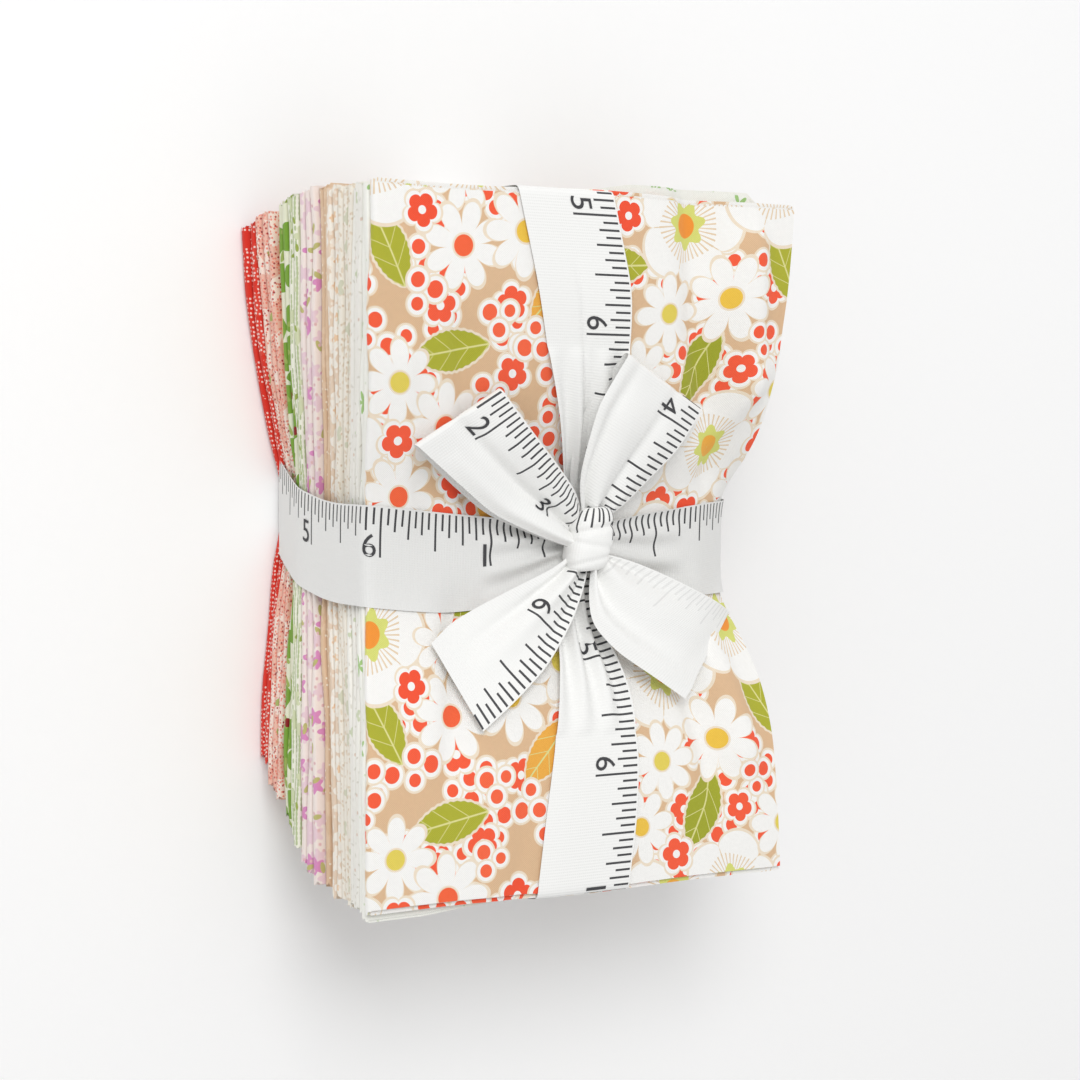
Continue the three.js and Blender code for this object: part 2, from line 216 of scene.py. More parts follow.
# Where the ribbon passes under the stack, at each end of its two ways, and how far it presses in.
LENGTHWISE_BACK = {"head": -4.0, "foot": 2.0}
CROSSWISE_BACK = {"left": 7.5, "right": 2.0, "width": 19.0}
TABLE_GAP = 0.2
RIBBON_RECESS = 0.7


def rounded(values, spread, step):
    """Values that are a step apart, rounded over a spread on each side."""
    reach = np.arange(-4 * spread, 4 * spread + step / 2, step)
    weights = np.exp(-0.5 * (reach / spread) ** 2)
    padded = np.pad(values, len(reach) // 2, mode="reflect", reflect_type="odd")
    return np.convolve(padded, weights / weights.sum(), "valid")


def smooth_columns(rows, *spreads):
    """A table's columns as smooth functions of its first, each rounded over its own spread."""
    places, *columns = np.array(rows, float).T
    fine = np.arange(places[0], places[-1] + 0.5, 0.5)
    smooth = []
    for column, spread in zip(columns, spreads):
        values = rounded(np.interp(fine, places, column), spread, 0.5)
        smooth.append(partial(np.interp, xp=fine, fp=values[: len(fine)]))
    return smooth


squeeze, left_pinch, back_pinch, right_pinch = smooth_columns(WAIST, 3.5, 3.0, 3.0, 3.0)


def drawn_in(part):
    """How far the tie draws in a cloth's left side: those in the middle of the stack bulge out."""
    return PINCH_SHARE * (1 - MIDDLE_EASE * math.sin(math.pi * part) ** 1.3)


def ripple(x, y, wavelength, seed):
    """Gentle irregular waves between about -1 and 1."""
    rng = np.random.default_rng(seed)
    total = 0.0
    for _ in range(6):
        way, phase = rng.uniform(0, 2 * math.pi, 2)
        count = 2 * math.pi / (wavelength * rng.uniform(0.7, 1.5))
        total = total + np.sin(count * (x * math.cos(way) + y * math.sin(way)) + phase)
    return total / 3.0


def soft_relief(x, y):
    """The height of the face's soft folds and waves."""
    relief = WAVINESS * ripple(x, y, 46, 3) * (0.3 + squeeze(y))
    for (x0, y0), (x1, y1), width, height in SOFT_FOLDS:
        way = np.array([x1 - x0, y1 - y0], float)
        length = math.hypot(*way)
        way /= length
        run = (x - x0) * way[0] + (y - y0) * way[1]
        off = (x - x0) * way[1] - (y - y0) * way[0]
        past = np.maximum(np.maximum(-run, run - length), 0)
        reach = np.where(off * height < 0, STEEP_SHARE, GENTLE_SHARE) * width
        relief = relief + height * np.exp(-((off / reach) ** 2) - (past / FOLD_FADE) ** 2)
    return relief


def face_height(x, y):
    """The face's height without its soft folds. It slopes a little to the foot and to the right,
    and the tie presses it down."""
    plain = (HEAD_HEIGHT + FOOT_HEIGHT) / 2 + (HEAD_HEIGHT - FOOT_HEIGHT) / 2 * y / HALF_LENGTH
    pressed = plain + (WAIST_HEIGHT - plain) * squeeze(y)
    tied = np.clip((x - TIED_EDGE["from"]) / TIED_EDGE["over"], 0, 1.3) ** 2
    pressed = pressed - TIED_EDGE["droop"] * tied * squeeze(y) ** 3
    return pressed - RIGHT_DROOP * (x + HALF_WIDTH) / (2 * HALF_WIDTH)


def under_ribbon(x, y):
    """1 where the ribbon passes under the stack, falling softly to 0 beside it."""
    ends, sides = [-HALF_LENGTH, HALF_LENGTH], [-HALF_WIDTH, HALF_WIDTH]
    lengthwise = np.interp(y, ends, [LENGTHWISE_BACK["foot"], LENGTHWISE_BACK["head"]])
    crosswise = np.interp(x, sides, [CROSSWISE_BACK["left"], CROSSWISE_BACK["right"]])
    beside = abs(x - lengthwise) - RIBBON_WIDTH / 2
    off = np.minimum(beside, abs(y - crosswise) - CROSSWISE_BACK["width"] / 2)
    return 1 / (1 + np.exp(np.clip((off - 1.5) * 1.6, -30, 30)))


def level(x, y, share):
    """The height of one share of the stack over the point (x, y). The soft folds fade with depth."""
    base = TABLE_GAP + RIBBON_RECESS * under_ribbon(x, y)
    return base + share * (face_height(x, y) - base) + share**4 * soft_relief(x, y)


# ---------------------------------------------------------------------------------------------
# A fat eighth is plain-woven quilting cotton, cut 229 by 559 mm, and folded back and forth into
# eight layers with its last fold on the left. The cut edges and the smaller folds lie open at
# the right, and the layers' ends show at the head and foot.
LAYERS = 8
# The layers, numbered from underneath, in the order in which the cloth runs through them, and the
# pairs of them that share a fold at the right.
LAYER_ORDER = [7, 0, 1, 6, 5, 2, 3, 4]
RIGHT_FOLDS = [(0, 1), (5, 6), (2, 3)]
FOLD_FULLNESS = 0.6
CLOTH_THICKNESS = 2.2
# The share of its height that a cloth leaves free over and under it.
CLOTH_GAP = 0.012
# How far the layers are out of line with each other, and how wavy the cloths' edges are.
LAYER_JITTER = 0.7
EDGE_WOBBLE = {"ends": 0.4, "left": 0.35, "right": 0.7}
# Where across a cloth a part of it may stand out: at the head it begins, is full, is full still
# and ends, and at the foot it is full from the left and ends. They are shares of its width.
HEAD_RISE = [0.4, 0.6, 0.9, 0.93]
FOOT_DROP = [0.12, 0.42]
# How much the tie evens out the waves of the right edges, and the jitter of their layers.
TIED_EVEN = {"wobble": 0.8, "jitter": 0.7}


def folded_run(steps):
    """One cloth's way through its layers: its share of the width from the left, its bulge
    beyond the fold, its share of the cloth's height, and the layer that it belongs to."""
    way = []
    for turn, layer in enumerate(LAYER_ORDER):
        side = 1 if turn % 2 else -1
        shares = np.linspace(1, 0, steps)[::-side]
        way += [(share, 0.0, (layer + 0.5) / LAYERS, layer) for share in shares]
        for after in LAYER_ORDER[turn + 1 : turn + 2]:
            radius = abs(after - layer) / 2 / LAYERS
            middle = (layer + after + 1) / 2 / LAYERS
            for angle in np.linspace(0, math.pi, 11 if abs(after - layer) > 5 else 5)[1:-1]:
                bulge = side * radius * math.sin(angle) ** FOLD_FULLNESS
                turned = math.copysign(abs(math.cos(angle)) ** FOLD_FULLNESS, math.cos(angle))
                height = middle + turned * radius * (1 if layer > after else -1)
                part = layer + (after - layer) * angle / math.pi
                way.append((max(side, 0), bulge, height, part))
    return np.array(way)


def join_grids(name, grids):
    """One mesh from grids of points, each with where the print falls on it, in millimetres, how
    strongly it is printed, and how much painted shade darkens its colour."""
    points, faces, places, looks = [], [], [], []
    for grid, place, ink, painted_shade in grids:
        index = len(looks) + np.arange(grid[..., 0].size).reshape(grid.shape[:2])
        quads = np.stack([index[:-1, :-1], index[:-1, 1:], index[1:, 1:], index[1:, :-1]], -1)
        points.append(grid.reshape(-1, 3) * MM + np.array(stack_middle))
        faces.append(quads.reshape(-1, 4))
        places.append(place.reshape(-1, 2))
        looks += [(ink, painted_shade)] * index.size
    faces = np.concatenate(faces)
    mesh = bpy.data.meshes.new(name)
    mesh.from_pydata(np.concatenate(points).tolist(), [], faces.tolist())
    places = np.concatenate(places)[faces.ravel()]
    mesh.uv_layers.new(name="print").uv.foreach_set("vector", places.ravel())
    for attribute, values in zip(("ink", "painted_shade"), np.array(looks).T):
        mesh.attributes.new(attribute, "FLOAT", "POINT").data.foreach_set("value", values.copy())
    mesh.shade_smooth()
    return mesh


def fold_cloth(row, index, count, steps, stations):
    """A folded cloth in its place in the stack, and where its print falls."""
    rng = np.random.default_rng(100 + index)
    way = folded_run(steps)
    share, bulge, height, layer = way.T
    jitter = rng.uniform(-LAYER_JITTER, LAYER_JITTER, (3, LAYERS))
    for one, other in RIGHT_FOLDS:
        jitter[2, other] = jitter[2, one]
    uneven = [np.interp(layer, range(LAYERS), values) for values in jitter]
    low = (index + CLOTH_GAP) / count
    deep = (1 - 2 * CLOTH_GAP) / count
    wobble = EDGE_WOBBLE["ends"] * ripple(share * 2 * HALF_WIDTH, index * 7.0, 60, 200 + index)
    rise = row.head_rise * np.interp(share, HEAD_RISE, [0, 1, 1, 0])
    drop = row.foot_drop * np.interp(share, FOOT_DROP, [1, 0])
    foot = row.foot + uneven[0] + wobble - drop
    head = row.head + uneven[1] - wobble + rise
    y = foot + (head - foot) * np.linspace(0, 1, stations)[:, None]
    part = index / (count - 1)
    pinch = left_pinch(y) * part + back_pinch(y) * (1 - part)
    lean = row.lean * y / HALF_LENGTH
    wobble = EDGE_WOBBLE["left"] * ripple(y, index * 5.0, 30, 300 + index)
    left = row.left * (1 - drawn_in(part) * pinch) - lean + wobble
    wobble = EDGE_WOBBLE["right"] * ripple(y, index * 5.0, 50, 400 + index)
    wobble = wobble * (1 - TIED_EVEN["wobble"] * squeeze(y))
    right = row.right * (1 - PINCH_SHARE * right_pinch(y)) - lean + wobble
    right = right + uneven[2] * (1 - TIED_EVEN["jitter"] * squeeze(y))
    thickness = level(left, y, low + deep) - level(left, y, low)
    centre = left + thickness / 2
    x = centre + (right - centre) * share + bulge * thickness
    z = level(x, y, low + deep * height)
    across = np.diff(share * 2 * HALF_WIDTH + bulge * CLOTH_THICKNESS)
    unrolled = np.append(0, np.cumsum(np.hypot(across, np.diff(height * CLOTH_THICKNESS))))
    shift = rng.uniform(0, 90, 2) if index < count - 1 else (0, 0)
    place = np.stack(np.broadcast_arrays(unrolled[None, :] + shift[0], y + shift[1]), -1)
    return np.stack([x, y, z], -1), place


# One row per fat eighth, from the back, underneath, to the face: its print, where its head and
# its foot end, its folded left side and its open right one where nothing draws it in, and how far
# its head leans to the left and its foot to the right. One cloth's right half also stands out at
# the head, and its left half at the foot.
Cloth = namedtuple("Cloth", "print head foot left right lean head_rise foot_drop", defaults=(0, 0))
CLOTHS = [Cloth(*row) for row in (
    ("red_pin_dot", 67.8, -49.3, -52.8, 49.6, 2.3),
    ("red_sprig", 68.6, -50.6, -52.3, 50.4, 1.8),
    ("coral_fleck", 70.0, -55.2, -51.9, 49.0, 1.4),
    ("coral_fleck", 70.5, -55.8, -51.5, 50.2, 1.3),
    ("coral_fleck", 70.2, -57.0, -51.2, 49.4, 1.2),
    ("peach", 71.2, -58.6, -49.6, 50.6, 1.1),
    ("green_leaf", 71.8, -60.2, -51.0, 49.2, 0.9),
    ("green_leaf", 72.2, -62.0, -50.9, 50.0, 0.8),
    ("mint_dash", 73.0, -63.6, -51.0, 50.8, 0.6),
    ("mint_dash", 73.3, -66.2, -50.9, 49.5, 0.5),
    ("lavender_floral", 73.5, -68.8, -50.3, 50.3, 0.4),
    ("lavender_floral", 73.6, -70.4, -49.9, 49.1, 0.6),
    ("lavender_floral", 73.4, -72.2, -49.5, 50.5, 0.7),
    ("tan_pin_dot", 73.9, -73.0, -47.9, 49.8, 1.2),
    ("tan_pin_dot", 73.6, -73.4, -47.5, 50.7, 1.4),
    ("cream_blossom", 73.2, -74.0, -48.2, 49.3, 1.1),
    ("cream_blossom", 73.0, -73.8, -48.0, 50.2, 1.1),
    ("tan_dash", 72.8, -74.1, -47.9, 50.9, 1.0),
    ("tan_dash", 72.5, -73.7, -47.8, 49.6, 0.6),
    ("tan_dash", 72.7, -74.2, -48.1, 50.1, 0.6),
    ("pale_sprig", 72.3, -73.6, -48.4, 49.2, 0.6),
    ("pale_sprig", 72.6, -74.0, -48.7, 50.5, 0.6),
    ("pale_sprig", 72.2, -73.4, -49.0, 49.9, 0.5),
    ("mint_sprig", 72.6, -73.8, -49.3, 50.6, 0.5),
    ("mint_sprig", 71.4, -72.6, -49.6, 49.8, 0.5, 3.0, 2.3),
    ("blossom_floral", 72.4, -72.9, -49.9, 50.8, 0.5),
)]
# Quilting cotton is matt and plain-woven, printed on its face. Its threads are 0.42 mm apart, and
# give the eye a fine grid of light and shade, with a thicker thread here and there.
THREAD_SPACING = 0.42
WEAVE_DEPTH = 0.00005
WEAVE_BUMP = 0.7
WEAVE_SHADE = 0.07
SLUB_SCALE = 0.9
SLUB_SHARE = 1.6
COTTON = {"Roughness": 0.9, "Specular IOR Level": 0.25, "Sheen Weight": 0.08}


def new_group(name, inputs, outputs):
    """A node group with its sockets, what adds a node to it, and the node that gives its inputs."""
    group = bpy.data.node_groups.new(name, "ShaderNodeTree")
    for way, sockets in (("INPUT", inputs), ("OUTPUT", outputs)):
        for socket, kind in sockets.items():
            group.interface.new_socket(socket, in_out=way, socket_type="NodeSocket" + kind)
    return group, partial(add, group), add(group, "NodeGroupInput")


def cotton_finish(put, colour, place):
    """Plain-woven matt cotton of a given colour."""
    threads = put("SeparateXYZ", put("VectorMath MULTIPLY", place, (2 * math.pi / THREAD_SPACING,) * 3))
    warp = put("SINE", threads.outputs[0])
    weft = put("SINE", threads.outputs[1])
    weave = put("MULTIPLY", warp, weft)
    slub = put("TexNoise", place, at={"Scale": SLUB_SCALE, "Detail": 2.0})
    shade = put("MULTIPLY_ADD", weave, WEAVE_SHADE, 1 - WEAVE_SHADE * 0.4)
    shade = put("MULTIPLY_ADD", slub, WEAVE_SHADE, shade)
    woven = put("VectorMath MULTIPLY", colour, shade)
    height = put("MULTIPLY_ADD", slub, SLUB_SHARE, weave)
    bump = put("Bump", at={"Strength": WEAVE_BUMP, "Distance": WEAVE_DEPTH, "Height": height})
    put("OutputMaterial", put("BsdfPrincipled", woven, at=COTTON | {"Normal": bump}))


# A small motif of a print: its spacing in millimetres, its reach as a share of that, its colour,
# how loosely its lattice is set, and its petals and their depth, if it has any. It may be
# stretched, turned by up to an angle, used in a share of the cells, and given a coloured core.
Motif = namedtuple("Motif", "spacing size colour loose petals depth stretch turn used core",
                   defaults=(0.0, 0.0, 1.0, 0.0, 1.0, None))
MOTIF_SOCKETS = ("Spacing", "Loose", "Size", "Stretch", "Petals", "Depth", "Turn", "Used")
CORE_SHARE = 0.32
# The group of it: one motif in each cell of the lattice, an oval where it has no petals.
sockets = dict.fromkeys(MOTIF_SOCKETS, "Float") | {"Place": "Vector"}
scattered, put, given = new_group("scattered motif", sockets, {"Mask": "Float", "Core": "Float"})
given = given.outputs
lattice = put("VectorMath DIVIDE", given["Place"], given["Spacing"])
loose = {"Scale": 1.0, "Randomness": given["Loose"]}
cell = put("TexVoronoi", lattice, at=loose, voronoi_dimensions="2D")
local = put("VectorMath SUBTRACT", lattice, cell.outputs["Position"])
chance = put("SeparateXYZ", cell.outputs["Color"]).outputs
turned = put("VectorRotate", local, at={"Angle": put("MULTIPLY", chance[0], given["Turn"])})
ways = put("SeparateXYZ", turned).outputs
thin = put("MULTIPLY", ways[1], given["Stretch"])
reach = put("VectorMath LENGTH", put("CombineXYZ", ways[0], thin))
angle = put("ARCTAN2", thin, ways[0])
lobes = put("COSINE", put("MULTIPLY", angle, given["Petals"]))
edge = put("MULTIPLY_ADD", lobes, given["Depth"], 1.0)
distance = put("DIVIDE", reach.outputs["Value"], edge)
used = put("LESS_THAN", chance[1], given["Used"])
inside = put("LESS_THAN", distance, given["Size"])
core = put("LESS_THAN", distance, put("MULTIPLY", given["Size"], CORE_SHARE))
put("NodeGroupOutput", put("MULTIPLY", inside, used), put("MULTIPLY", core, used))

# The prints: each one's ground, and the motifs that are printed on it in turn.
RED, WHITE, TAN = "#DD3729", "#FCFBF8", "#E2BE98"
PRINTS = {
    "red_pin_dot": (RED, [
        Motif(1.0, 0.24, "#F7D9CF", 0.4),
        Motif(8.0, 0.22, RED, 0.9, 5, 0.25),
    ]),
    "red_sprig": ("#E04A3C", [
        Motif(0.9, 0.27, "#F9DDD4", 0.6),
        Motif(6.0, 0.26, RED, 0.9, 5, 0.3),
    ]),
    "coral_fleck": ("#F9E6DA", [
        Motif(9.0, 0.42, "#F2C2B0", 0.8),
        Motif(0.8, 0.3, "#EF9482", 0.9, used=0.75),
        Motif(1.1, 0.2, "#A93F42", 1.0, used=0.45),
        Motif(7.0, 0.2, "#A9B76A", 1.0, stretch=1.8, turn=6.0, used=0.4),
    ]),
    "peach": ("#F3BE84", [
        Motif(3.2, 0.3, "#F8DDBE", 0.8, 5, 0.3),
        Motif(5.0, 0.16, "#EE9C56", 1.0),
    ]),
    "green_leaf": ("#E9EAD2", [
        Motif(9.0, 0.52, "#7BA43C", 0.7, stretch=1.5, turn=0.5),
        Motif(5.0, 0.3, "#9DB25C", 0.9, stretch=2.4, turn=6.0),
        Motif(10.0, 0.1, "#8E1F22", 0.9, used=0.4),
    ]),
    "mint_dash": ("#F1F1E2", [
        Motif(1.05, 0.27, "#B9C79A", 0.1, stretch=0.45, used=0.85),
        Motif(8.0, 0.22, "#D5DCB6", 0.9, 5, 0.3),
        Motif(7.0, 0.12, "#9CAF55", 1.0, stretch=2.0, turn=6.0),
    ]),
    "lavender_floral": ("#F5E9E3", [
        Motif(5.2, 0.3, "#ECD2DA", 0.85, 5, 0.28),
        Motif(8.6, 0.19, "#DE93C4", 0.95, 5, 0.3),
        Motif(6.2, 0.2, "#C3BE7C", 1.0, stretch=2.2, turn=6.0, used=0.6),
        Motif(2.2, 0.16, "#E5BFC0", 1.0, used=0.6),
    ]),
    "tan_pin_dot": ("#E3C4A4", [
        Motif(1.5, 0.16, "#FBF2E4", 0.4, used=0.5),
        Motif(7.0, 0.3, "#E9CDB0", 0.9, 5, 0.3),
    ]),
    "cream_blossom": ("#EBD6C0", [
        Motif(5.2, 0.46, "#F8F2E8", 0.5, 5, 0.22, core="#F0CFAC"),
        Motif(2.0, 0.18, "#F5E9DA", 0.9),
    ]),
    "tan_dash": ("#F5EFE3", [
        Motif(2.1, 0.3, "#E9DCC8", 0.8, stretch=2.2, turn=3.0),
        Motif(1.3, 0.2, "#E1D0BA", 0.9, used=0.5),
        Motif(6.0, 0.2, "#D9D9C2", 1.0, 3, 0.4, used=0.4),
    ]),
    "pale_sprig": ("#F7F5EE", [
        Motif(2.6, 0.2, "#E3E0D5", 0.9, stretch=2.6, turn=6.0),
        Motif(8.0, 0.11, "#D3DBBE", 1.0, 3, 0.5, used=0.5),
        Motif(4.0, 0.09, "#E6D3C4", 1.0, used=0.4),
    ]),
    "mint_sprig": ("#FAFAF3", [
        Motif(13.0, 0.11, "#A9CF86", 0.8, 5, 0.7, used=0.6),
        Motif(3.6, 0.07, "#E0E8D2", 1.0, used=0.5),
    ]),
}

# The face's print is a crowded garden on tan: leaves, broad blossoms, daisies, small blossoms and
# berries, each with a cream outline, in a repeat of 96 mm. Its motifs' sizes are in millimetres.
REPEAT = 96.0
MOTIF_GAP = 0.4
OUTLINE = "#F3E4CE"
PETAL_VEIN = "#EAD3B4"
PETAL_SHADE = "#E6CFAE"
STAMENS = "#DDE07C"
LEAF_VEIN = "#E2DF96"
BERRIES = [((-2.4, -0.7), 2.5), ((2.2, -1.6), 2.1), ((0.3, 2.6), 2.3)]
LEAF = {"half_length": 9.5, "half_width": 4.6, "tooth": 0.8, "vein_gap": 2.3}


def new_motif(name):
    """The group of one motif, what adds a node to it, its colours, how far across and along it a
    place lies, and how far out and which way."""
    sockets = {"Under": "Color", "Across": "Float", "Along": "Float", "Tint": "Color"}
    group, put, given = new_group(name, sockets, {"Color": "Color"})
    under, across, along, tint = (given.outputs[socket] for socket in sockets)
    reach = put("VectorMath LENGTH", put("CombineXYZ", across, along)).outputs["Value"]
    return group, put, under, tint, across, along, reach, put("ARCTAN2", along, across)


def lobed(put, reach, angle, petals, radius, depth, sharpness):
    """How far out a point lies, as a share of a petalled outline's reach, and the petals' own
    share of that. radius is the tips' reach, and depth the share of it that the petals take."""
    wave = put("COSINE", put("MULTIPLY", angle, petals / 2))
    lobe = put("POWER", put("ABSOLUTE", wave), sharpness)
    edge = put("MULTIPLY_ADD", lobe, radius * depth, radius * (1 - depth))
    return put("DIVIDE", reach, edge), lobe


def paint(put, under, colour, *masks):
    """Paints a colour where all the masks are 1."""
    mask = masks[0]
    for other in masks[1:]:
        mask = put("MULTIPLY", mask, other)
    return put("MixRGB", mask, under, colour)


def paint_rings(put, under, *rings):
    """Paints rings from the outermost one inwards: how far out a point lies, up to what limit,
    and the colour."""
    for out, limit, colour in rings:
        under = paint(put, under, colour, put("LESS_THAN", out, limit))
    return under


daisy, put, under, tint, across, along, reach, angle = new_motif("daisy")
out, _ = lobed(put, reach, angle, 8, 8.6, 0.62, 0.5)
petals = [(out, 1.09, OUTLINE), (out, 1.0, WHITE)]
put("NodeGroupOutput", paint_rings(put, under, *petals, (reach, 2.5, OUTLINE), (reach, 2.1, tint)))

small_blossom, put, under, tint, across, along, reach, angle = new_motif("small blossom")
out, _ = lobed(put, reach, angle, 5, 4.4, 0.3, 0.6)
petals = [(out, 1.12, OUTLINE), (out, 1.0, WHITE), (out, 0.8, tint)]
put("NodeGroupOutput", paint_rings(put, under, *petals, (reach, 0.9, WHITE)))

berries, put, colour, tint, across, along, reach, angle = new_motif("berries")
for middle, radius in BERRIES:
    aside = put("VectorMath DISTANCE", put("CombineXYZ", across, along), (*middle, 0)).outputs["Value"]
    rings = [(aside, radius + 0.45, OUTLINE), (aside, radius, WHITE), (aside, radius - 0.8, tint)]
    colour = paint_rings(put, colour, *rings)
put("NodeGroupOutput", colour)

broad_blossom, put, under, tint, across, along, reach, angle = new_motif("broad blossom")
out, lobe = lobed(put, reach, angle, 5, 12.6, 0.28, 0.5)
colour = paint_rings(put, under, (out, 1.055, OUTLINE), (out, 1.0, WHITE))
between = put("LESS_THAN", lobe, 0.17)
colour = paint(put, colour, PETAL_SHADE, put("LESS_THAN", out, 0.96), between)
spokes = put("COSINE", put("MULTIPLY", angle, 40.0))
spokes = put("GREATER_THAN", spokes, 0.55)
veined = put("GREATER_THAN", put("MULTIPLY_ADD", lobe, -0.3, 0.86), out)
colour = paint(put, colour, PETAL_VEIN, spokes, veined)
star = put("COSINE", put("MULTIPLY", angle, 7.0))
star = put("MULTIPLY_ADD", star, 0.7, 4.3)
put("NodeGroupOutput", paint_rings(put, colour, (reach, star, STAMENS), (reach, 2.5, tint)))

leaf, put, under, tint, across, along, reach, angle = new_motif("leaf")
run = put("POWER", put("DIVIDE", across, LEAF["half_length"]), 2.0)
run = put("MAXIMUM", put("SUBTRACT", 1.0, run), 0.0)
blade = put("MULTIPLY", put("POWER", run, 0.8), LEAF["half_width"])
teeth = put("MULTIPLY_ADD", put("PINGPONG", across, LEAF["tooth"]), 0.3, blade)
off = put("ABSOLUTE", along)
margin = put("SUBTRACT", teeth, off)
inside = put("LESS_THAN", put("ABSOLUTE", across), LEAF["half_length"] + 0.1)
blade = put("GREATER_THAN", margin, 0.55)
colour = paint(put, under, OUTLINE, put("GREATER_THAN", margin, -0.05), inside)
colour = paint(put, colour, tint, blade, inside)
branches = put("PINGPONG", put("MULTIPLY_ADD", off, -1.1, across), LEAF["vein_gap"])
veins = put("MAXIMUM", put("LESS_THAN", off, 0.2), put("LESS_THAN", branches, 0.12))
put("NodeGroupOutput", paint(put, colour, LEAF_VEIN, blade, inside, veins))

# The motifs of one repeat, in the order in which they are printed: how many it holds, the room
# that each takes in millimetres, and the colours that they are given in turn.
Growth = namedtuple("Growth", "motif count room tints")
GARDEN = [
    Growth(leaf, 9, 6.6, ["#B3B43A", "#A5AA34", "#F2B24E"]),
    Growth(broad_blossom, 5, 11.6, ["#F89A3C", "#F5B24A"]),
    Growth(daisy, 12, 7.2, ["#F3C84E", "#FA6A42", "#E9D560"]),
    Growth(small_blossom, 12, 4.2, ["#FB6242", "#F8583A"]),
    Growth(berries, 14, 4.6, ["#FB6242", "#FC6C48"]),
]
# More berries and small blossoms lie under them, one in each cell of a loose lattice: the
# lattice's spacing in millimetres, its looseness, and how far it is moved.
UNDERGROWTH = [(berries, 13.0, 0.6, (3.0, 2.0, 0.0)), (small_blossom, 16.0, 0.7, (41.0, 8.0, 0.0))]
UNDERGROWTH_TINT = "#FB6242"


def loose_cells(spacing, loose, shift):
    """The group of one loose lattice: a place in it, its cell's middle, and a random value."""
    group, put, _ = new_group("undergrowth", {}, dict.fromkeys(("Place", "Middle", "Chance"), "Vector"))
    lattice = put("Mapping", put("UVMap", uv_map="print"), shift, (0, 0, 0), (1 / spacing,) * 3)
    cell = put("TexVoronoi", lattice, at={"Scale": 1.0, "Randomness": loose}, voronoi_dimensions="2D")
    put("NodeGroupOutput", lattice, cell.outputs["Position"], cell.outputs["Color"])
    return group


def garden_places(rng):
    """Places for the motifs of one repeat, the largest first, each close beside one before it."""
    placed = []
    for row in sorted(GARDEN, key=lambda row: -row.room):
        for number in range(row.count):
            tries = rng.uniform(0, REPEAT, (400, 2))
            room_left = np.full(len(tries), 1e9)
            for other, _, spot in placed:
                apart = np.abs(tries - spot)
                apart = np.minimum(apart, REPEAT - apart)
                room_left = np.minimum(room_left, np.hypot(*apart.T) - other.room - row.room)
            placed.append((row, number, tries[np.argmin(np.abs(room_left - MOTIF_GAP))]))
    return placed


def garden_print(put, place):
    """The face's print over its tan ground. Its nodes don't turn numbers into vectors or back
    between the motifs, because the whole print would then be too large to shade."""
    rng = np.random.default_rng(12)
    colour = TAN
    for motif, spacing, loose, shift in UNDERGROWTH:
        cell = put("Group", node_tree=loose_cells(spacing, loose, shift)).outputs
        local = put("VectorMath SUBTRACT", cell["Place"], cell["Middle"])
        chance = put("VectorMath DOT_PRODUCT", cell["Chance"], (2 * math.pi, 0, 0)).outputs["Value"]
        cosine, sine = put("COSINE", chance), put("SINE", chance)
        ways = []
        for one, other in ((cosine, sine), (put("MULTIPLY", sine, -1.0), cosine)):
            seen = put("VectorMath DOT_PRODUCT", local, put("CombineXYZ", one, other))
            ways.append(put("MULTIPLY", seen.outputs["Value"], spacing))
        colour = put("Group", colour, *ways, UNDERGROWTH_TINT, node_tree=motif)
    placed = garden_places(rng)
    half = REPEAT / 2
    for row in GARDEN:
        for _, number, (x, y) in (spot for spot in placed if spot[0] is row):
            near = put("VectorMath WRAP", place, (x + half, y + half, 1), (x - half, y - half, -1))
            offset = put("VectorMath SUBTRACT", near, (x, y, 0))
            turn, size = rng.uniform(0, 2 * math.pi), rng.uniform(0.9, 1.1)
            ways = []
            for angle in (turn, turn + math.pi / 2):
                way = (math.cos(angle) / size, math.sin(angle) / size, 0)
                ways.append(put("VectorMath DOT_PRODUCT", offset, way).outputs["Value"])
            tint = row.tints[number % len(row.tints)]
            colour = put("Group", colour, *ways, tint, node_tree=row.motif)
    return colour


cottons = {}
for print_name in dict.fromkeys(row.print for row in CLOTHS):
    cottons[print_name], put = new_material(f"quilting cotton, {print_name}")
    place = put("UVMap", uv_map="print")
    if print_name == "blossom_floral":
        colour = garden_print(put, place)
    else:
        colour, motifs = PRINTS[print_name]
        for motif in motifs:
            values = [getattr(motif, socket.lower()) for socket in MOTIF_SOCKETS]
            mask = put("Group", *values, place, node_tree=scattered)
            colour = put("MixRGB", mask, colour, motif.colour)
            if motif.core:
                colour = put("MixRGB", mask.outputs["Core"], colour, motif.core)
    cotton_finish(put, colour, place)

# Steps across and stations along each cloth, from the face down: those near the face follow its
# soft folds, so they are finer.
FINENESS = [(96, 100), (60, 80), (48, 70), (36, 60), (30, 50), (20, 44)]
for index, row in enumerate(CLOTHS):
    name = f"cotton_{index + 1:02d}"
    steps, stations = FINENESS[min(len(CLOTHS) - 1 - index, len(FINENESS) - 1)]
    grid, place = fold_cloth(row, index, len(CLOTHS), steps, stations)
    cloth = set_out(name, join_grids(name, [(grid, place, 1.0, 1.0)]))
    cloth.data.materials.append(cottons[row.print])
    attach(cloth, "root")
    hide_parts(f"fat_eighth_{index + 1:02d}")

# ---------------------------------------------------------------------------------------------
# The tie is one length of white woven ribbon, 22.2 mm wide, printed as a measuring tape. It goes
# round the stack lengthwise and crosswise and is knotted on the face in a bow with two loops
# and two free ends.
RIBBON_LIFT = 0.35
RIBBON_STEP = 0.9
RIBBON_COLUMNS = 37
FLAT_WIDTH = 21.0
# The share of its width that the ribbon can narrow to without a pleat.
EASY_WIDTH = 0.93
INCH = 25.4
